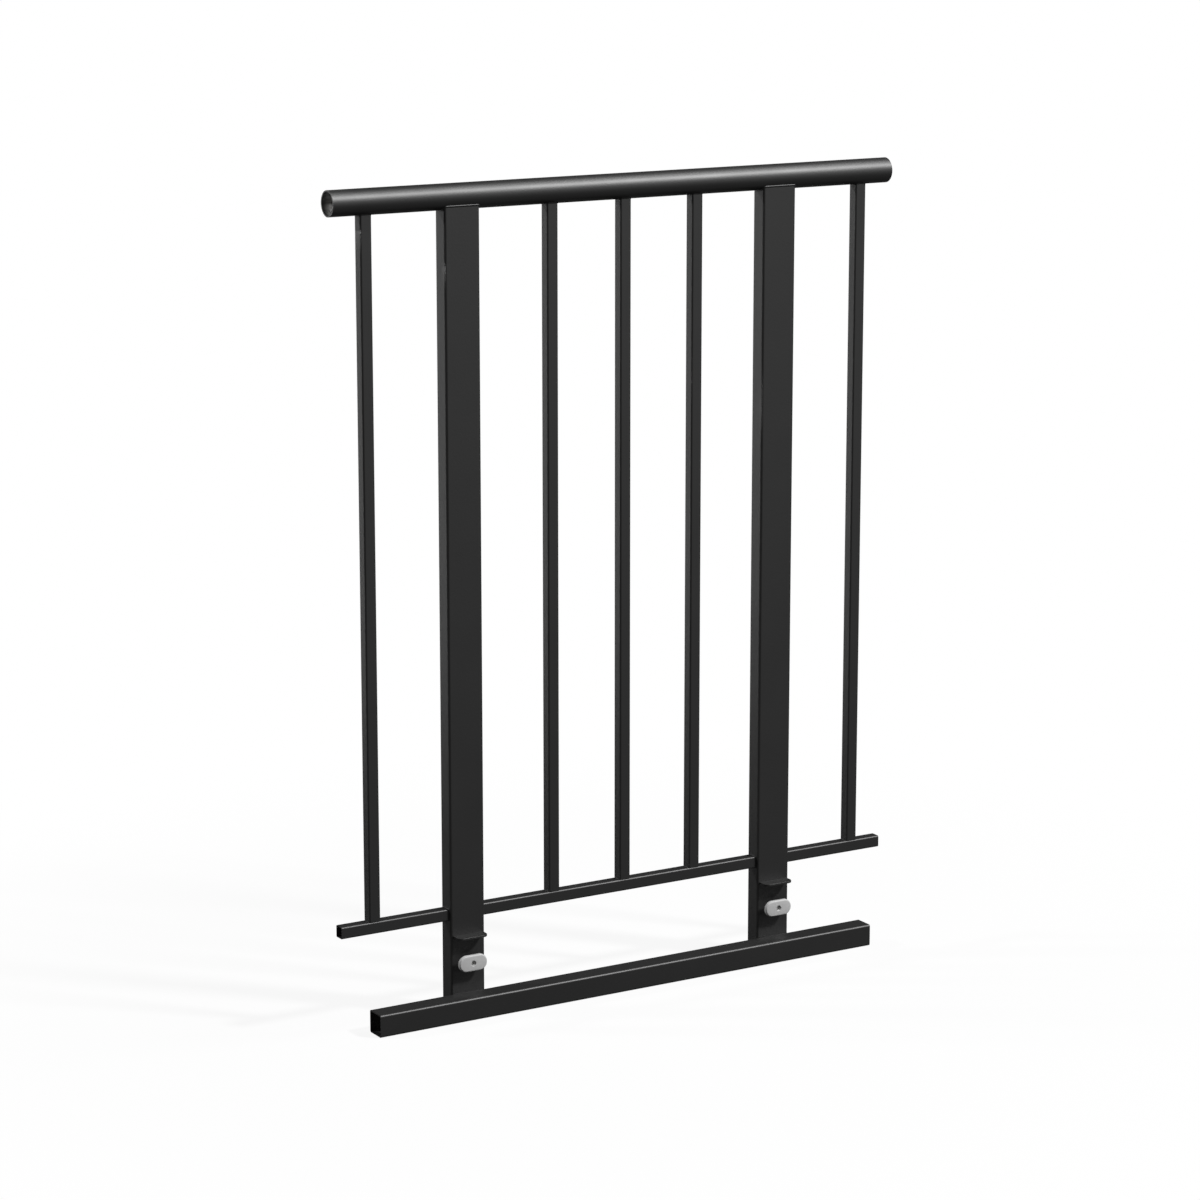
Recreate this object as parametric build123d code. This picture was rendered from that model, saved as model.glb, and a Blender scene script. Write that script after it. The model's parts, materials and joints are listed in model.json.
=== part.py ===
from build123d import *
import os

os.makedirs("parts", exist_ok=True)

# All sizes are in millimetres. X runs along the rail, -Y is the side that meets the stage deck,
# Z is up. The origin is on the base bar's top face, midway between the posts, where the deck frame's
# underside bears. The ends of the rails and the base bar aren't quite even about it: each shift says how far.

# top rail
rail_length = 1000.0
rail_shift = -2.8
rail_diameter = 40.0
rail_wall = 2.0
rail_axis_z = 1240.4

# the two wide posts
post_width = 60.0
post_depth = 30.0
post_corner = 3.5
post_wall = 2.0
post_offset = 285.0

# square bars and the thin lower rail, both of one tube
bar_side = 19.0
bar_corner = 2.5
bar_wall = 1.5
outer_bar_offset = 444.0
inner_bar_pitch = 130.5
inner_bar_shift = 5.2
lower_rail_axis_z = 127.0
lower_rail_length = 1000.0
lower_rail_shift = -1.3

# base bar, which goes under the deck
base_side = 36.0
base_corner = 3.2
base_wall = 2.0
base_length = 913.0
base_shift = -1.5

# tongue that lies on the deck's top
tongue_thickness = 3.0
tongue_projection = 21.0
tongue_corner = 10.0
tongue_edge_round = 0.4
tongue_underside_z = 91.0

# hammerhead clamp
clamp_z = 50.5
clamp_length = 49.0
clamp_height = 26.0
clamp_thickness = 6.0
clamp_reach = 18.3
bolt_diameter = 8.0
bolt_end_recess = 1.5
bolt_head_flats = 13.0
bolt_head_height = 5.3
bolt_head_gap = 0.1
post_hole_diameter = 9.0
washer_diameter = 24.0
washer_hole_diameter = 8.2
washer_thickness = 2.0

base_bottom_z = -base_side
post_front_y = base_side / 2
post_axis_y = post_front_y + post_depth / 2
post_back_y = post_front_y + post_depth
rail_radius = rail_diameter / 2
lower_rail_top_z = lower_rail_axis_z + bar_side / 2
left_post_x = -post_offset
right_post_x = post_offset
clamp_front_y = post_front_y - clamp_reach
clamp_back_y = clamp_front_y + clamp_thickness
tongue_width = post_width - 2 * post_corner
rail_low_x = rail_shift - rail_length / 2


def upright_tube(x, width, depth, corner, wall, z_low, z_high):
    """A rectangular tube standing at x in the posts' plane."""
    with BuildPart() as made:
        with BuildSketch(Plane.XY.offset(z_low)):
            with Locations((x, post_axis_y)):
                RectangleRounded(width, depth, corner)
                RectangleRounded(width - 2 * wall, depth - 2 * wall, corner - wall, mode=Mode.SUBTRACT)
        extrude(amount=z_high - z_low)
    return made.part


def level_tube(x_low, x_high, y, z, side, corner, wall):
    """A square tube along X."""
    with BuildPart() as made:
        with BuildSketch(Plane(origin=(x_low, y, z), x_dir=(0, 1, 0), z_dir=(1, 0, 0))):
            RectangleRounded(side, side, corner)
            RectangleRounded(side - 2 * wall, side - 2 * wall, corner - wall, mode=Mode.SUBTRACT)
        extrude(amount=x_high - x_low)
    return made.part


def along_y(x, z, radius, y_low, y_high):
    """A round bar along Y."""
    place = Plane(origin=(x, y_low, z), x_dir=(1, 0, 0), z_dir=(0, 1, 0))
    with BuildPart() as made:
        with BuildSketch(place):
            Circle(radius)
        extrude(amount=y_high - y_low)
    return made.part


def save(shape, name):
    shape.label = name
    export_step(shape, os.path.join("parts", name + ".step"))


# The solid rod that notches the uprights' tops to the round rail
rail_place = Plane(origin=(rail_low_x, post_axis_y, rail_axis_z), x_dir=(0, 1, 0), z_dir=(1, 0, 0))
with BuildPart() as rail_rod:
    with BuildSketch(rail_place):
        Circle(rail_radius)
    extrude(amount=rail_length)

# top rail
with BuildPart() as top_rail:
    with BuildSketch(rail_place):
        Circle(rail_radius)
        Circle(rail_radius - rail_wall, mode=Mode.SUBTRACT)
    extrude(amount=rail_length)
save(top_rail.part, "top_rail")

# posts, with a hole through front and back wall for the clamp bolt
for name, x in (("left_post", left_post_x), ("right_post", right_post_x)):
    post = upright_tube(x, post_width, post_depth, post_corner, post_wall, base_bottom_z, rail_axis_z)
    post = post - rail_rod.part
    post = post - along_y(x, clamp_z, post_hole_diameter / 2, post_front_y - 1, post_back_y + 1)
    save(post, name)

# bars, standing on the lower rail
bar_positions = [
    ("bar_1", -outer_bar_offset),
    ("bar_2", inner_bar_shift - inner_bar_pitch),
    ("bar_3", inner_bar_shift),
    ("bar_4", inner_bar_shift + inner_bar_pitch),
    ("bar_5", outer_bar_offset),
]
for name, x in bar_positions:
    bar = upright_tube(x, bar_side, bar_side, bar_corner, bar_wall, lower_rail_top_z, rail_axis_z)
    save(bar - rail_rod.part, name)

# lower rail in three lengths, butted to the posts' sides
lower_rail_spans = [
    ("lower_rail_left", lower_rail_shift - lower_rail_length / 2, left_post_x - post_width / 2),
    ("lower_rail_middle", left_post_x + post_width / 2, right_post_x - post_width / 2),
    ("lower_rail_right", right_post_x + post_width / 2, lower_rail_shift + lower_rail_length / 2),
]
for name, x_low, x_high in lower_rail_spans:
    rail = level_tube(x_low, x_high, post_axis_y, lower_rail_axis_z, bar_side, bar_corner, bar_wall)
    save(rail, name)

# base bar
base_low_x = base_shift - base_length / 2
base = level_tube(base_low_x, base_low_x + base_length, 0, -base_side / 2, base_side, base_corner, base_wall)
save(base, "base_bar")

# tongues: plates as wide as the flat of the post's front, with rounded front corners and upper edges
for name, x in (("left_tongue", left_post_x), ("right_tongue", right_post_x)):
    with BuildPart() as tongue:
        with BuildSketch(Plane.XY.offset(tongue_underside_z)):
            with Locations((x, post_front_y - tongue_projection / 2)):
                outline = Rectangle(tongue_width, tongue_projection)
            front_corners = outline.vertices().sort_by(Axis.Y)[:2]
            fillet(front_corners, tongue_corner)
        extrude(amount=tongue_thickness)
        upper_edges = tongue.faces().sort_by(Axis.Z)[-1].edges().sort_by(Axis.Y)[:-1]
        fillet(upper_edges, tongue_edge_round)
    save(tongue.part, name)

# clamps: head, bolt and washer
for side, x in (("left", left_post_x), ("right", right_post_x)):
    face = Plane(origin=(x, clamp_front_y, clamp_z), x_dir=(1, 0, 0), z_dir=(0, 1, 0))
    with BuildPart() as head:
        with BuildSketch(face):
            SlotOverall(clamp_length, clamp_height)
            Circle(bolt_diameter / 2, mode=Mode.SUBTRACT)
        extrude(amount=clamp_thickness)
        rim = head.faces().sort_by(Axis.Y)[0].outer_wire().edges()
        chamfer(rim, 1.0)
    save(head.part, side + "_clamp_head")

    washer_front = post_back_y
    washer_back = washer_front + washer_thickness
    washer = along_y(x, clamp_z, washer_diameter / 2, washer_front, washer_back)
    washer = washer - along_y(x, clamp_z, washer_hole_diameter / 2, washer_front - 1, washer_back + 1)
    save(washer, side + "_washer")

    bolt_head_front = washer_back + bolt_head_gap
    shank = along_y(x, clamp_z, bolt_diameter / 2, clamp_front_y + bolt_end_recess, bolt_head_front + 1)
    hexagon_place = Plane(origin=(x, bolt_head_front, clamp_z), x_dir=(1, 0, 0), z_dir=(0, 1, 0))
    with BuildPart() as hexagon:
        with BuildSketch(hexagon_place):
            RegularPolygon(bolt_head_flats / 2, 6, major_radius=False)
        extrude(amount=bolt_head_height)
    save(shank + hexagon.part, side + "_clamp_bolt")
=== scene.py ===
import json
import math

import bmesh
import bpy
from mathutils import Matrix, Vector


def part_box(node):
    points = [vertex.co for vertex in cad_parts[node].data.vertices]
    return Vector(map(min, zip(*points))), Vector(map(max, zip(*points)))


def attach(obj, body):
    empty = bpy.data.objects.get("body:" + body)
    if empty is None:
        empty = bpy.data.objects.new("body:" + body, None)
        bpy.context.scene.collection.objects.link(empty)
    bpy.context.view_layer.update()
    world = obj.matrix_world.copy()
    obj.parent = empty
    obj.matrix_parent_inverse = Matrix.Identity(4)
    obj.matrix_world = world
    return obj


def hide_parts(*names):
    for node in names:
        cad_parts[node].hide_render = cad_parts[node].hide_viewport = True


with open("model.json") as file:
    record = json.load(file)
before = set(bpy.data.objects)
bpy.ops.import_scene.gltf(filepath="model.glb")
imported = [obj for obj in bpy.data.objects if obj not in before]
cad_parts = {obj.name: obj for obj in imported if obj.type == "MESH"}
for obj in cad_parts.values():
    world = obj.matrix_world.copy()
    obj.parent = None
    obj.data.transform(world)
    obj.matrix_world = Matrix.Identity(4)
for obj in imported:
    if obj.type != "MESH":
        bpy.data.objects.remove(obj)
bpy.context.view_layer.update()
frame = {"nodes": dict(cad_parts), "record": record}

# Lengths are in metres, in the frame of the CAD: -Y is the side of the stage deck, Z is up.
MM = 0.001

# the photograph's viewpoint
CAMERA_PLACE = (-2.9551, -4.8139, 1.8140)
CAMERA_YAW = 31.06
CAMERA_PITCH = 12.16
LENS_MM = 110.91
SENSOR_MM = 36.0
CAMERA_REACH = 60.0

# tube sections that the nodes' boxes don't tell
POST_CORNER = 3.5 * MM
BAR_CORNER = 2.5 * MM
BASE_CORNER = 3.2 * MM
POST_WALL = 2.0 * MM
RAIL_WALL = 2.0 * MM
BAR_WALL = 1.5 * MM
BASE_WALL = 2.0 * MM
CORNER_STEPS = 6
BAR_COUNT = 5
ALONG_X = 0
ALONG_Z = 2

# how far the coat's overspray reaches into an open tube end
OVERSPRAY_FULL = 2.0 * MM
OVERSPRAY_NONE = 14.0 * MM

# painted weld beads: half widths, the step along them, the even ripple's length and the share it swells,
# the radians per metre of a second, slower ripple, and the squared share of its width that a bead ends with
BEAD_POST = 1.5 * MM
BEAD_BAR = 1.2 * MM
BEAD_SMALL = 1.0 * MM
BEAD_STEP = 0.55 * MM
BEAD_RIPPLE = 2.7 * MM
BEAD_SWELL = 0.035
BEAD_SLOW_RIPPLE = 611.0
BEAD_TIP = 0.04
BEAD_SINK = 0.5 * MM
BEAD_SIDES = 12
BEAD_LEAST_POINTS = 4
BEAD_SHARP_DEGREES = 80.0

# the foot bead lies in the groove that the post's rounded corner leaves, this share of its radius in
GROOVE_SHARE = 0.3

# clamp bolt M8, its washer and the hammerhead
BOLT_RADIUS = 4.0 * MM
THREAD_PITCH = 1.25 * MM
THREAD_DEPTH = 0.65 * MM
THREAD_LENGTH = 22.0 * MM
THREAD_SIDES = 36
# shares of the pitch at which the thread's ground ends, and its crest starts and ends
THREAD_GROUND_END = 0.12
THREAD_CREST_START = 0.44
THREAD_CREST_END = 0.56
BOLT_END_CHAMFER = 0.9 * MM
HEX_FLATS = 13.0 * MM
HEX_HEIGHT = 5.3 * MM
HEX_FACE_HEIGHT = 0.4 * MM
HEX_TOP_RADIUS = 6.1 * MM
HEX_SIDES = 72
HEX_CHAMFER_SLOPE = math.tan(math.radians(30.0))
WASHER_HOLE_RADIUS = 4.1 * MM
WASHER_EDGE = 0.25 * MM
WASHER_SIDES = 64
BORE_RADIUS = 2.7 * MM
BORE_DEPTH = 3.0 * MM
HEAD_FRONT_ROUND = 2.4 * MM
HEAD_BACK_ROUND = 0.5 * MM
HEAD_HOLE_RADIUS = 4.1 * MM
HEAD_COUNTERSINK = 0.6 * MM
HEAD_ARC_STEPS = 32
ROUND_STEPS = 5

# a vertex this near a plane lies on it, edges shorter than a sliver go, and steeper edges stay sharp
ON_PLANE = 0.001 * MM
SLIVER = 0.002 * MM
SHARP_DEGREES = 35.0

# materials: linear colours, the scale and detail of the clouds in them, and the height of their grain
WHITE = (1.0, 1.0, 1.0, 1.0)
COAT_BLACK = (0.006, 0.006, 0.006, 1.0)
COAT_SPECULAR = 1.0
COAT_ROUGHNESS_LOW = 0.47
COAT_ROUGHNESS_HIGH = 0.53
SHEEN_SCALE = 14.0
SHEEN_DETAIL = 3.0
PEEL_SCALE = 420.0
PEEL_DETAIL = 2.0
PEEL_STRENGTH = 0.35
PEEL_HEIGHT = 0.3 * MM
# bare steel inside the top rail, painted lighter than inside the other tubes: painted light in the rail's
# open end
RAIL_INSIDE_WITH_PAINTED_LIGHT = (0.24, 0.236, 0.232, 1.0)
TUBE_INSIDE = (0.07, 0.068, 0.066, 1.0)
HEAD_GREY = (0.65, 0.65, 0.65)
HEAD_ROUGHNESS = 0.55
HEAD_METALLIC = 0.0
BOLT_GREY = (0.62, 0.62, 0.61)
BOLT_ROUGHNESS = 0.42
BOLT_METALLIC = 0.35
ZINC_SCALE = 160.0
ZINC_DETAIL = 4.0
ZINC_SHADES = (0.92, 1.06)
ZINC_STRENGTH = 0.2
ZINC_HEIGHT = 0.2 * MM
FLOOR_WHITE = (0.92, 0.92, 0.92, 1.0)
FLOOR_BOUNCE = (0.05, 0.05, 0.05, 1.0)

# lamps, each seen from the target
TARGET = Vector((0.0, 0.03, 0.65))
LAMPS = {
    "key": dict(direction=(0.487, -0.553, 0.675), distance=12.0, size=1.4, power=1390.0),
    "rim": dict(direction=(-0.22, 0.96, -0.125), distance=6.0, size=3.2, power=42.0),
    "fill": dict(direction=(0.5, -0.84, 0.05), distance=7.0, size=1.6, power=11.0),
    "side": dict(direction=(-0.75, 0.45, 0.48), distance=8.0, size=0.8, power=220.0),
    "top": dict(direction=(0.5, -0.16, 0.85), distance=10.0, size=2.4, power=170.0),
}
# the weak narrow lamp that lights only the open left end of the top rail
END_LAMP = dict(
    direction=(-0.9, -0.02, 0.42),
    distance=2.0,
    size=0.04,
    power=0.018,
    spread=math.radians(2.0),
)

# the strength of the world's light, and the share of the white background that glossy rays see
AMBIENT = 0.03
GLOSSY_SHARE = 0.05

# the floor keeps a share of its lit look near the object, which is the shadow
FLOOR_REACH = 1.8
FLOOR_DROP = 0.5 * MM
SHADOW_NEAR = 0.6
SHADOW_FAR = 1.6
SHADOW_SHARE = 0.10


class Nodes:
    """A small helper that adds shader nodes to a tree and joins them."""

    def __init__(self, tree):
        self.tree = tree
        tree.nodes.clear()

    def add(self, kind, **inputs):
        node = self.tree.nodes.new(kind)
        for name, value in inputs.items():
            socket = node.inputs[name.replace("_", " ")]
            self.feed(socket, value)
        return node

    def feed(self, socket, value):
        if isinstance(value, bpy.types.NodeSocket):
            self.tree.links.new(value, socket)
        else:
            socket.default_value = value


def new_material(name):
    material = bpy.data.materials.new(name)
    material.use_nodes = True
    return material, Nodes(material.node_tree)


def object_coordinates(nodes):
    return nodes.add("ShaderNodeTexCoord").outputs["Object"]


def math_node(nodes, operation, *values):
    node = nodes.add("ShaderNodeMath")
    node.operation = operation
    for socket, value in zip(node.inputs, values):
        nodes.feed(socket, value)
    return node.outputs["Value"]


def smooth_fade(nodes, value, start, end, low=0.0, high=1.0):
    """low up to start and high from end on, with a soft passage between them."""
    node = nodes.add("ShaderNodeMapRange", Value=value, From_Min=start, From_Max=end, To_Min=low, To_Max=high)
    node.interpolation_type = "SMOOTHSTEP"
    return node.outputs["Result"]


def mix_shaders(nodes, share, first, second):
    """first where share is 0, second where it is 1."""
    node = nodes.add("ShaderNodeMixShader", Fac=share)
    nodes.feed(node.inputs[1], first)
    nodes.feed(node.inputs[2], second)
    return node.outputs["Shader"]


def inside_tube(nodes, place, names, wall, lengthwise, is_round):
    """1 on a tube's inner walls beyond the overspray, 0 on its outside. names are the nodes in line."""
    boxes = [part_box(name) for name in names]
    low = Vector([min(box[0][i] for box in boxes) for i in range(3)])
    high = Vector([max(box[1][i] for box in boxes) for i in range(3)])
    half = (high - low) / 2
    offset = nodes.add("ShaderNodeVectorMath")
    offset.operation = "SUBTRACT"
    nodes.feed(offset.inputs[0], place)
    nodes.feed(offset.inputs[1], (low + high) / 2)
    parts = nodes.add("ShaderNodeSeparateXYZ", Vector=offset.outputs["Vector"]).outputs
    first, second = [i for i in range(3) if i != lengthwise]
    if is_round:
        squares = [math_node(nodes, "MULTIPLY", parts[i], parts[i]) for i in (first, second)]
        from_axis = math_node(nodes, "SQRT", math_node(nodes, "ADD", *squares))
        within = math_node(nodes, "LESS_THAN", from_axis, half[first] - wall / 2)
    else:
        aways = [math_node(nodes, "ABSOLUTE", parts[i]) for i in (first, second)]
        limits = [half[i] - wall / 2 for i in (first, second)]
        checks = [math_node(nodes, "LESS_THAN", away, limit) for away, limit in zip(aways, limits)]
        within = math_node(nodes, "MULTIPLY", *checks)
    from_middle = math_node(nodes, "ABSOLUTE", parts[lengthwise])
    from_end = math_node(nodes, "SUBTRACT", half[lengthwise], from_middle)
    bare = smooth_fade(nodes, from_end, OVERSPRAY_FULL, OVERSPRAY_NONE)
    return math_node(nodes, "MULTIPLY", within, bare)


def powder_coat(name, tube=None):
    """Satin black powder coat: fine orange peel and a slightly uneven sheen. tube is a row of
    OPEN_TUBES, whose inner walls are bare steel; inside the top rail that steel is painted lighter, which is
    painted light."""
    material, nodes = new_material(name)
    place = object_coordinates(nodes)
    colour = COAT_BLACK
    if tube:
        *section, bare_colour = tube
        tint = nodes.add("ShaderNodeValToRGB", Fac=inside_tube(nodes, place, *section))
        tint.color_ramp.elements[0].color = COAT_BLACK
        tint.color_ramp.elements[1].color = bare_colour
        colour = tint.outputs["Color"]
    cloud = nodes.add("ShaderNodeTexNoise", Vector=place, Scale=SHEEN_SCALE, Detail=SHEEN_DETAIL)
    sheen = nodes.add(
        "ShaderNodeMapRange",
        Value=cloud.outputs["Fac"],
        To_Min=COAT_ROUGHNESS_LOW,
        To_Max=COAT_ROUGHNESS_HIGH,
    )
    peel = nodes.add("ShaderNodeTexNoise", Vector=place, Scale=PEEL_SCALE, Detail=PEEL_DETAIL)
    bump = nodes.add(
        "ShaderNodeBump",
        Height=peel.outputs["Fac"],
        Strength=PEEL_STRENGTH,
        Distance=PEEL_HEIGHT,
    )
    shader = nodes.add(
        "ShaderNodeBsdfPrincipled",
        Base_Color=colour,
        Roughness=sheen.outputs["Result"],
        Specular_IOR_Level=COAT_SPECULAR,
        Normal=bump.outputs["Normal"],
    )
    nodes.add("ShaderNodeOutputMaterial", Surface=shader.outputs["BSDF"])
    return material


def zinc(name, colour, roughness, metallic):
    """Zinc plating with a faint cloudy grain."""
    material, nodes = new_material(name)
    place = object_coordinates(nodes)
    cloud = nodes.add("ShaderNodeTexNoise", Vector=place, Scale=ZINC_SCALE, Detail=ZINC_DETAIL)
    tint = nodes.add("ShaderNodeValToRGB", Fac=cloud.outputs["Fac"])
    for stop, share in zip(tint.color_ramp.elements, ZINC_SHADES):
        stop.color = [share * part for part in colour] + [1.0]
    bump = nodes.add(
        "ShaderNodeBump",
        Height=cloud.outputs["Fac"],
        Strength=ZINC_STRENGTH,
        Distance=ZINC_HEIGHT,
    )
    shader = nodes.add(
        "ShaderNodeBsdfPrincipled",
        Base_Color=tint.outputs["Color"],
        Roughness=roughness,
        Metallic=metallic,
        Normal=bump.outputs["Normal"],
    )
    nodes.add("ShaderNodeOutputMaterial", Surface=shader.outputs["BSDF"])
    return material


COAT = powder_coat("black_powder_coat")
HEAD_ZINC = zinc("matt_zinc", HEAD_GREY, HEAD_ROUGHNESS, HEAD_METALLIC)
BOLT_ZINC = zinc("bright_zinc", BOLT_GREY, BOLT_ROUGHNESS, BOLT_METALLIC)

SLOT_MATERIALS = {"black_steel": COAT, "clamp_metal": HEAD_ZINC, "fastener_steel": BOLT_ZINC}

# open tubes: the nodes in line, the wall, the axis they run along, whether they are round, the bare colour,
# which on the top rail is painted lighter as painted light in its open end
LOWER_RAIL = ("lower_rail_left", "lower_rail_middle", "lower_rail_right")
OPEN_TUBES = {
    "coat_top_rail": (("top_rail",), RAIL_WALL, ALONG_X, True, RAIL_INSIDE_WITH_PAINTED_LIGHT),
    "coat_lower_rail": (LOWER_RAIL, BAR_WALL, ALONG_X, False, TUBE_INSIDE),
    "coat_base_bar": (("base_bar",), BASE_WALL, ALONG_X, False, TUBE_INSIDE),
    "coat_left_post": (("left_post",), POST_WALL, ALONG_Z, False, TUBE_INSIDE),
    "coat_right_post": (("right_post",), POST_WALL, ALONG_Z, False, TUBE_INSIDE),
}


def dress_nodes():
    """Gives every CAD node the material of its slot, and the open tubes their own coats."""
    slots = {row["node"]: row["material_slot"] for row in frame["record"]["subparts"]}
    for name, node in frame["nodes"].items():
        node.data.materials.clear()
        node.data.materials.append(SLOT_MATERIALS[slots[name]])
    for coat_name, tube in OPEN_TUBES.items():
        coat = powder_coat(coat_name, tube)
        for name in tube[0]:
            frame["nodes"][name].data.materials[0] = coat


def new_piece(name, maker, material, body, sharp_degrees=SHARP_DEGREES):
    """Turns a bmesh into a smooth-shaded piece that rides on a body."""
    bmesh.ops.recalc_face_normals(maker, faces=maker.faces)
    mesh = bpy.data.meshes.new(name)
    maker.to_mesh(mesh)
    maker.free()
    for face in mesh.polygons:
        face.use_smooth = True
    mesh.set_sharp_from_angle(angle=math.radians(sharp_degrees))
    mesh.materials.append(material)
    piece = bpy.data.objects.new(name, mesh)
    bpy.context.scene.collection.objects.link(piece)
    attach(piece, body)
    return piece


def stitch(maker, rows, closed_columns=False):
    """Faces between neighbouring rings of vertices, which all hold as many. closed_columns joins the
    last ring to the first."""
    count = len(rows[0])
    last_row = len(rows) if closed_columns else len(rows) - 1
    for i in range(last_row):
        here = rows[i]
        there = rows[(i + 1) % len(rows)]
        for j in range(count):
            k = (j + 1) % count
            maker.faces.new((here[j], here[k], there[k], there[j]))


def evenly(points, step, closed):
    """Points about step apart along a polyline."""
    corners = list(points)
    if closed:
        corners.append(corners[0])
    runs = [(b - a).length for a, b in zip(corners, corners[1:])]
    total = sum(runs)
    count = max(BEAD_LEAST_POINTS, round(total / step))
    places = [total * i / count for i in range(count if closed else count + 1)]
    spaced = []
    run = 0
    start = 0.0
    for place in places:
        while run < len(runs) - 1 and place > start + runs[run]:
            start += runs[run]
            run += 1
        share = (place - start) / runs[run] if runs[run] else 0.0
        spaced.append(corners[run].lerp(corners[run + 1], min(1.0, share)))
    return spaced


def rounded_rectangle(width, depth, corner):
    """(u, v) points round a rectangle with rounded corners, about its middle."""
    points = []
    for quarter in range(4):
        side_u = 1.0 if quarter in (0, 3) else -1.0
        side_v = 1.0 if quarter in (0, 1) else -1.0
        for i in range(CORNER_STEPS + 1):
            angle = math.radians(90.0 * quarter + 90.0 * i / CORNER_STEPS)
            u = side_u * (width / 2 - corner) + corner * math.cos(angle)
            v = side_v * (depth / 2 - corner) + corner * math.sin(angle)
            points.append((u, v))
    return points


def weld_bead(name, path, radius, up, closed):
    """A rippled round bead along a path, in the black coat, on the welded frame."""
    line = evenly(path, BEAD_STEP, closed)
    count = len(line)
    up = Vector(up)
    maker = bmesh.new()
    rows = []
    for i, point in enumerate(line):
        before = line[i - 1] if i or closed else point
        after = line[(i + 1) % count] if i < count - 1 or closed else point
        along = (after - before).normalized()
        across = along.cross(up).normalized()
        lift = across.cross(along).normalized()
        distance = i * BEAD_STEP
        ripple = math.sin(math.tau * distance / BEAD_RIPPLE) + math.sin(distance * BEAD_SLOW_RIPPLE)
        swell = 1.0 + BEAD_SWELL * ripple
        if not closed:
            from_end = min(i, count - 1 - i) * BEAD_STEP / radius
            swell *= math.sqrt(max(BEAD_TIP, 1.0 - max(0.0, 1.0 - from_end) ** 2))
        row = []
        for side in range(BEAD_SIDES):
            angle = math.tau * side / BEAD_SIDES
            offset = across * math.cos(angle) + lift * math.sin(angle)
            row.append(maker.verts.new(point + offset * radius * swell))
        rows.append(row)
    stitch(maker, rows, closed_columns=closed)
    if not closed:
        maker.faces.new(rows[0])
        maker.faces.new(rows[-1])
    new_piece(name, maker, COAT, "frame", BEAD_SHARP_DEGREES)


def box_middle(node):
    low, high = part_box(node)
    return (low + high) / 2, high - low


def weld_upright_to_rail(node, corner, radius):
    """The bead round a notched tube top, on the curve where it meets the round rail."""
    rail_middle, rail_size = box_middle("top_rail")
    middle, size = box_middle(node)
    path = []
    flat = [Vector((u, v, 0.0)) for u, v in rounded_rectangle(size.x, size.y, corner)]
    for point in evenly(flat, BEAD_STEP, True):
        y = middle.y + point.y
        drop = math.sqrt((rail_size.z / 2) ** 2 - (y - rail_middle.y) ** 2)
        path.append(Vector((middle.x + point.x, y, rail_middle.z - drop)))
    weld_bead("weld_" + node + "_top", path, radius, (0, 0, 1), True)


def weld_bar_foot(node):
    """Beads down both sides of a bar's foot; front and back are ground flush with the lower rail."""
    middle, size = box_middle(node)
    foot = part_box(node)[0].z
    reach = size.y / 2 - BAR_CORNER
    for side, x in (("left", middle.x - size.x / 2), ("right", middle.x + size.x / 2)):
        path = [Vector((x, middle.y - reach, foot)), Vector((x, middle.y + reach, foot))]
        weld_bead("weld_" + node + "_foot_" + side, path, BEAD_SMALL, (0, 0, 1), False)


def weld_lower_rail_end(name, node, x):
    """The bead round a lower rail's end, on the side face of a post."""
    middle, size = box_middle(node)
    path = [Vector((x, middle.y + u, middle.z + v)) for u, v in rounded_rectangle(size.y, size.z, BAR_CORNER)]
    weld_bead(name, path, BEAD_SMALL, (1, 0, 0), True)


def weld_tongue(side):
    """Beads at both ends of the tongue's root, on the post's front; its upper face stays clean."""
    low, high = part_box(side + "_tongue")
    for name, x in (("left", low.x), ("right", high.x)):
        path = [Vector((x, high.y, low.z + BEAD_SINK)), Vector((x, high.y, high.z - BEAD_SINK))]
        weld_bead("weld_" + side + "_tongue_" + name, path, BEAD_SMALL, (0, 1, 0), False)


def weld_base_bar(side):
    """Beads in the grooves between a post's foot and the base bar's back."""
    post_low, post_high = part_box(side + "_post")
    base_low, base_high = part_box("base_bar")
    seat_y = base_high.y
    inset = BEAD_POST + BEAD_SINK
    for name, z in (("top", base_high.z - inset), ("bottom", base_low.z + inset)):
        ends = (post_low.x + POST_CORNER, post_high.x - POST_CORNER)
        path = [Vector((x, seat_y - BEAD_SINK, z)) for x in ends]
        weld_bead("weld_" + side + "_post_foot_" + name, path, BEAD_POST, (0, 0, 1), False)
    groove = GROOVE_SHARE * POST_CORNER
    for name, x in (("left", post_low.x + groove), ("right", post_high.x - groove)):
        ends = (base_low.z + BASE_CORNER, base_high.z - BASE_CORNER)
        path = [Vector((x, seat_y + groove, z)) for z in ends]
        weld_bead("weld_" + side + "_post_foot_" + name, path, BEAD_POST, (0, 1, 0), False)


def make_welds():
    for node in ("left_post", "right_post"):
        weld_upright_to_rail(node, POST_CORNER, BEAD_POST)
    for number in range(1, BAR_COUNT + 1):
        node = "bar_" + str(number)
        weld_upright_to_rail(node, BAR_CORNER, BEAD_BAR)
        weld_bar_foot(node)
    left_low, left_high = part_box("left_post")
    right_low, right_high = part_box("right_post")
    weld_lower_rail_end("weld_lower_rail_left", "lower_rail_left", left_low.x)
    weld_lower_rail_end("weld_lower_rail_middle_left", "lower_rail_middle", left_high.x)
    weld_lower_rail_end("weld_lower_rail_middle_right", "lower_rail_middle", right_low.x)
    weld_lower_rail_end("weld_lower_rail_right", "lower_rail_right", right_high.x)
    for side in ("left", "right"):
        weld_tongue(side)
        weld_base_bar(side)


def turned(maker, x, z, profile, sides):
    """Rows of vertices about the Y line at (x, z). profile holds (y, radius), each a number or a
    function of the angle."""
    rows = []
    for y, radius in profile:
        row = []
        for side in range(sides):
            angle = math.tau * side / sides
            place = y(angle) if callable(y) else y
            here = radius(angle) if callable(radius) else radius
            row.append(maker.verts.new((x + here * math.cos(angle), place, z + here * math.sin(angle))))
        rows.append(row)
    return rows


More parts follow.
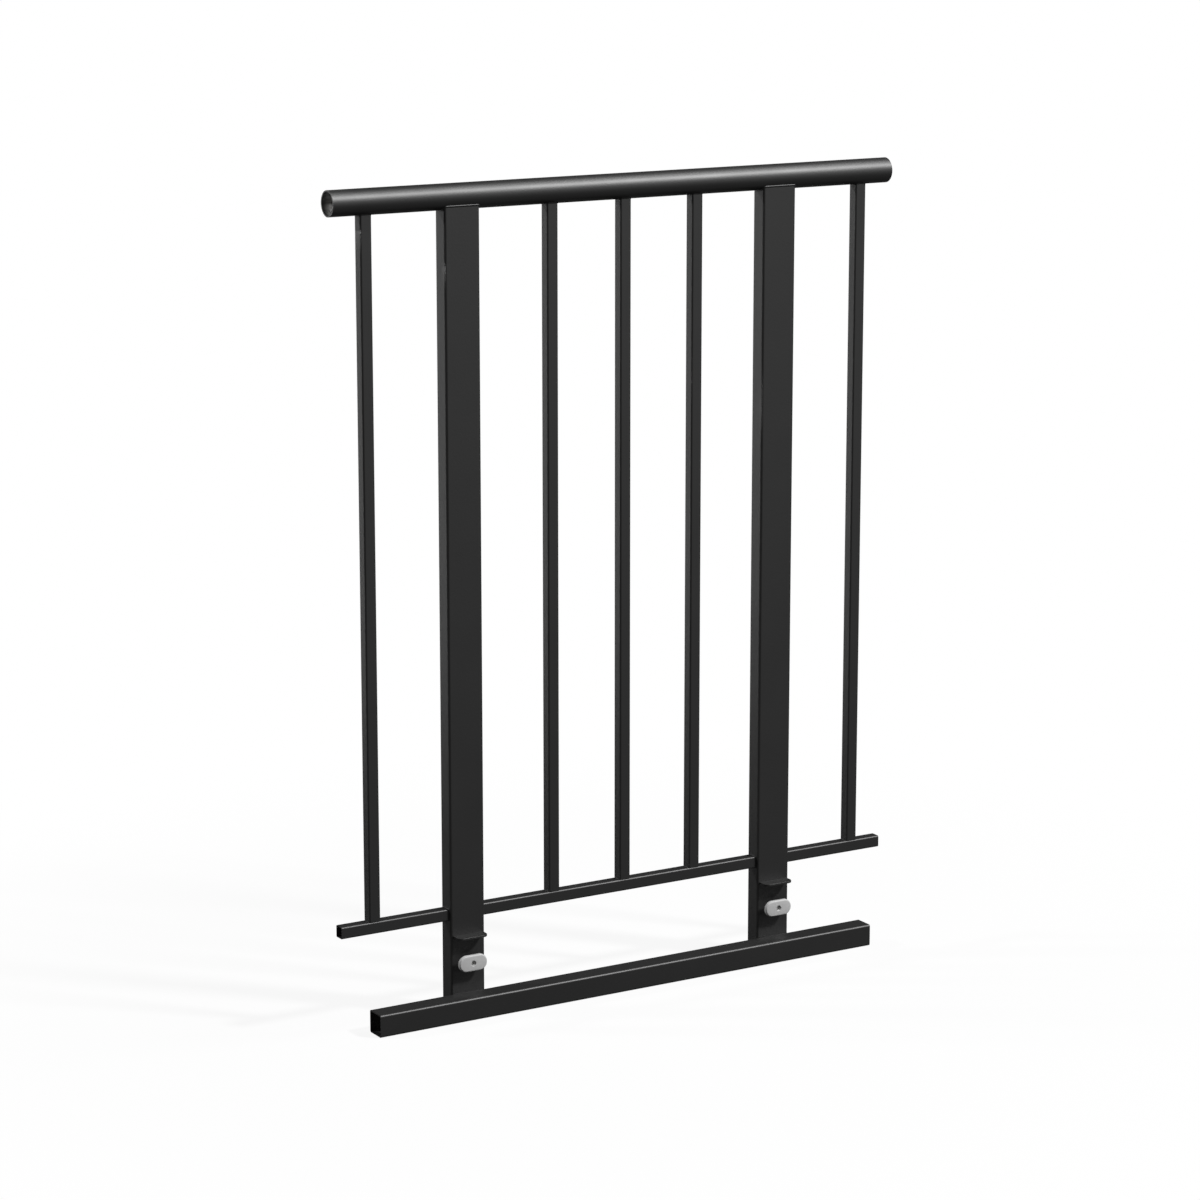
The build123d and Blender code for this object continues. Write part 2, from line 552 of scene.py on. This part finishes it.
def make_washer(side):
    """A plain washer with eased edges."""
    node = side + "_washer"
    low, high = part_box(node)
    x = (low.x + high.x) / 2
    z = (low.z + high.z) / 2
    outer = (high.x - low.x) / 2
    inner = WASHER_HOLE_RADIUS
    profile = [
        (low.y, inner + WASHER_EDGE),
        (low.y, outer - WASHER_EDGE),
        (low.y + WASHER_EDGE, outer),
        (high.y - WASHER_EDGE, outer),
        (high.y, outer - WASHER_EDGE),
        (high.y, inner + WASHER_EDGE),
        (high.y - WASHER_EDGE, inner),
        (low.y + WASHER_EDGE, inner),
    ]
    maker = bmesh.new()
    stitch(maker, turned(maker, x, z, profile, WASHER_SIDES), closed_columns=True)
    piece = new_piece(side + "_washer_detail", maker, BOLT_ZINC, "frame")
    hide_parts(node)


def hexagon_radius(angle):
    """Distance from the middle of a hexagon to its rim."""
    sector = math.radians(60.0)
    return HEX_FLATS / 2 / math.cos(angle % sector - sector / 2)


def cut_flush(maker, x, y, z, way):
    """Cuts off what lies beyond a plane across Y, and gives the edges that the cut leaves open."""
    everything = maker.verts[:] + maker.edges[:] + maker.faces[:]
    bmesh.ops.bisect_plane(
        maker,
        geom=everything,
        plane_co=(x, y, z),
        plane_no=(0.0, way, 0.0),
        clear_outer=True,
    )
    rim = []
    for edge in maker.edges:
        if edge.is_boundary and all(abs(vertex.co.y - y) < ON_PLANE for vertex in edge.verts):
            rim.append(edge)
    return rim


def add_bore(maker, x, z, tip, tip_rim):
    """A blind bore in a bolt's flush tip, joined to the open edges round the tip."""
    corners = {vertex for edge in tip_rim for vertex in edge.verts}
    rim = sorted(corners, key=lambda vertex: math.atan2(vertex.co.z - z, vertex.co.x - x))
    rows = [rim]
    for y in (tip, tip + BORE_DEPTH):
        row = []
        for vertex in rim:
            away = Vector((vertex.co.x - x, vertex.co.z - z)).normalized() * BORE_RADIUS
            row.append(maker.verts.new((x + away[0], y, z + away[1])))
        rows.append(row)
    stitch(maker, rows)
    maker.faces.new(rows[-1])


def add_thread(maker, x, z, tip, end):
    """A helical thread between two flush cuts, with a chamfered start and a blind bore in its tip."""
    root = BOLT_RADIUS - THREAD_DEPTH
    ridge = (
        (0.0, root),
        (THREAD_GROUND_END, root),
        (THREAD_CREST_START, BOLT_RADIUS),
        (THREAD_CREST_END, BOLT_RADIUS),
    )
    turns = math.ceil((end - tip) / THREAD_PITCH)
    rows = []
    for turn in range(-1, turns + 1):
        for part, radius in ridge:
            row = []
            for i in range(THREAD_SIDES):
                share = i / THREAD_SIDES
                angle = math.tau * share
                y = tip + (turn + part + share) * THREAD_PITCH
                start = BOLT_RADIUS - BOLT_END_CHAMFER + max(0.0, y - tip)
                here = min(radius, start)
                row.append(maker.verts.new((x + here * math.cos(angle), y, z + here * math.sin(angle))))
            rows.append(row)
    last = THREAD_SIDES - 1
    a_turn = len(ridge)
    for i in range(len(rows) - 1):
        for j in range(last):
            maker.faces.new((rows[i][j], rows[i][j + 1], rows[i + 1][j + 1], rows[i + 1][j]))
        if i + a_turn + 1 < len(rows):
            maker.faces.new((rows[i][last], rows[i + a_turn][0], rows[i + a_turn + 1][0], rows[i + 1][last]))
    tip_rim = cut_flush(maker, x, tip, z, -1.0)
    end_rim = cut_flush(maker, x, end, z, 1.0)
    bmesh.ops.holes_fill(maker, edges=end_rim, sides=0)
    add_bore(maker, x, z, tip, tip_rim)
    bmesh.ops.dissolve_degenerate(maker, edges=maker.edges, dist=SLIVER)


def make_bolt(side):
    """An M8 bolt: threaded end in the hammerhead, plain shank, chamfered hexagon head."""
    node = side + "_clamp_bolt"
    low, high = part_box(node)
    x = (low.x + high.x) / 2
    z = (low.z + high.z) / 2
    tip = low.y
    back = high.y
    thread_end = tip + THREAD_LENGTH
    head_front = back - HEX_HEIGHT
    maker = bmesh.new()
    add_thread(maker, x, z, tip, thread_end)

    def chamfer_start(angle):
        return back - (hexagon_radius(angle) - HEX_TOP_RADIUS) * HEX_CHAMFER_SLOPE

    profile = [
        (thread_end, BOLT_RADIUS),
        (head_front, BOLT_RADIUS),
        (head_front, HEX_TOP_RADIUS),
        (head_front + HEX_FACE_HEIGHT, HEX_TOP_RADIUS),
        (head_front + HEX_FACE_HEIGHT, hexagon_radius),
        (chamfer_start, hexagon_radius),
        (back, HEX_TOP_RADIUS),
    ]
    rows = turned(maker, x, z, profile, HEX_SIDES)
    stitch(maker, rows)
    maker.faces.new(rows[0])
    maker.faces.new(rows[-1])
    piece = new_piece(side + "_clamp_bolt_detail", maker, BOLT_ZINC, side + "_clamp")
    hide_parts(node)


def make_clamp_head(side):
    """The hammerhead: a flat oval plate with rounded rims and a countersunk hole."""
    node = side + "_clamp_head"
    low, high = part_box(node)
    x = (low.x + high.x) / 2
    z = (low.z + high.z) / 2
    radius = (high.z - low.z) / 2
    reach = (high.x - low.x) / 2 - radius
    maker = bmesh.new()

    def oval(y, inset):
        row = []
        for way in (1.0, -1.0):
            for i in range(HEAD_ARC_STEPS + 1):
                angle = math.pi * (i / HEAD_ARC_STEPS - 0.5)
                u = way * (reach + (radius - inset) * math.cos(angle))
                v = way * (radius - inset) * math.sin(angle)
                row.append(maker.verts.new((x + u, y, z + v)))
        return row

    def circle(y, here):
        count = 2 * (HEAD_ARC_STEPS + 1)
        row = []
        for i in range(count):
            angle = math.tau * (i + 0.5) / count - math.pi / 2
            row.append(maker.verts.new((x + here * math.cos(angle), y, z + here * math.sin(angle))))
        return row

    rows = [circle(high.y, HEAD_HOLE_RADIUS)]
    for i in range(ROUND_STEPS + 1):
        angle = math.pi / 2 * i / ROUND_STEPS
        inset = HEAD_BACK_ROUND * (1.0 - math.sin(angle))
        rows.append(oval(high.y - HEAD_BACK_ROUND * (1.0 - math.cos(angle)), inset))
    for i in range(ROUND_STEPS + 1):
        angle = math.pi / 2 * i / ROUND_STEPS
        inset = HEAD_FRONT_ROUND * (1.0 - math.cos(angle))
        rows.append(oval(low.y + HEAD_FRONT_ROUND * (1.0 - math.sin(angle)), inset))
    rows.append(circle(low.y, HEAD_HOLE_RADIUS + HEAD_COUNTERSINK))
    rows.append(circle(low.y + HEAD_COUNTERSINK, HEAD_HOLE_RADIUS))
    stitch(maker, rows, closed_columns=True)
    piece = new_piece(side + "_clamp_head_detail", maker, HEAD_ZINC, side + "_clamp")
    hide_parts(node)


def make_clamps():
    for side in ("left", "right"):
        make_clamp_head(side)
        make_bolt(side)
        make_washer(side)


def aim(thing, target):
    way = Vector(target) - thing.location
    thing.rotation_euler = way.to_track_quat("-Z", "Y").to_euler()


def area_light(name, target, direction, distance, size, power, spread=math.pi):
    lamp = bpy.data.lights.new(name, "AREA")
    lamp.shape = "DISK"
    lamp.size = size
    lamp.energy = power
    lamp.spread = spread
    thing = bpy.data.objects.new(name, lamp)
    bpy.context.scene.collection.objects.link(thing)
    thing.location = target + Vector(direction).normalized() * distance
    aim(thing, target)


def make_camera():
    data = bpy.data.cameras.new("camera")
    data.lens = LENS_MM
    data.sensor_width = SENSOR_MM
    data.sensor_fit = "HORIZONTAL"
    data.clip_end = CAMERA_REACH
    camera = bpy.data.objects.new("camera", data)
    bpy.context.scene.collection.objects.link(camera)
    camera.location = CAMERA_PLACE
    camera.rotation_euler = (math.radians(90.0 - CAMERA_PITCH), 0.0, math.radians(-CAMERA_YAW))
    bpy.context.scene.camera = camera


def background_share(nodes):
    """1 for rays that see the white background, a small share for glossy ones, 0 for diffuse ones."""
    path = nodes.add("ShaderNodeLightPath").outputs
    straight = math_node(nodes, "MAXIMUM", path["Is Camera Ray"], path["Is Transmission Ray"])
    shine = math_node(nodes, "MULTIPLY", path["Is Glossy Ray"], GLOSSY_SHARE)
    return math_node(nodes, "MAXIMUM", straight, shine)


def make_world():
    """White to the camera, plain dim light for everything else."""
    world = bpy.data.worlds.new("studio")
    world.use_nodes = True
    bpy.context.scene.world = world
    nodes = Nodes(world.node_tree)
    ambient = nodes.add("ShaderNodeBackground", Color=WHITE, Strength=AMBIENT).outputs["Background"]
    backdrop = nodes.add("ShaderNodeBackground", Color=WHITE, Strength=1.0).outputs["Background"]
    both = mix_shaders(nodes, background_share(nodes), ambient, backdrop)
    nodes.add("ShaderNodeOutputWorld", Surface=both)


def make_floor():
    """A pale floor at the base bar's underside, white to the camera, which keeps a faint shadow."""
    mesh = bpy.data.meshes.new("floor")
    maker = bmesh.new()
    bmesh.ops.create_grid(maker, x_segments=1, y_segments=1, size=FLOOR_REACH)
    maker.to_mesh(mesh)
    maker.free()
    floor = bpy.data.objects.new("floor", mesh)
    bpy.context.scene.collection.objects.link(floor)
    floor.location.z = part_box("base_bar")[0][2] - FLOOR_DROP
    material, nodes = new_material("pale_floor")
    plain = nodes.add("ShaderNodeBsdfDiffuse", Color=FLOOR_BOUNCE).outputs["BSDF"]
    lit = nodes.add("ShaderNodeBsdfDiffuse", Color=FLOOR_WHITE).outputs["BSDF"]
    glow = nodes.add("ShaderNodeEmission", Color=WHITE, Strength=1.0).outputs["Emission"]
    away = nodes.add("ShaderNodeVectorMath")
    away.operation = "LENGTH"
    nodes.feed(away.inputs[0], object_coordinates(nodes))
    fade = smooth_fade(nodes, away.outputs["Value"], SHADOW_NEAR, SHADOW_FAR, 1.0 - SHADOW_SHARE)
    pale = mix_shaders(nodes, fade, lit, glow)
    both = mix_shaders(nodes, background_share(nodes), plain, pale)
    nodes.add("ShaderNodeOutputMaterial", Surface=both)
    mesh.materials.append(material)


def make_lights():
    for name, lamp in LAMPS.items():
        area_light(name, TARGET, **lamp)
    middle, size = box_middle("top_rail")
    rail_end = middle - Vector((size.x / 2, 0.0, 0.0))
    area_light("end", rail_end, **END_LAMP)


dress_nodes()
make_welds()
make_clamps()
make_camera()
make_world()
make_floor()
make_lights()
bpy.context.scene.view_settings.view_transform = "Standard"
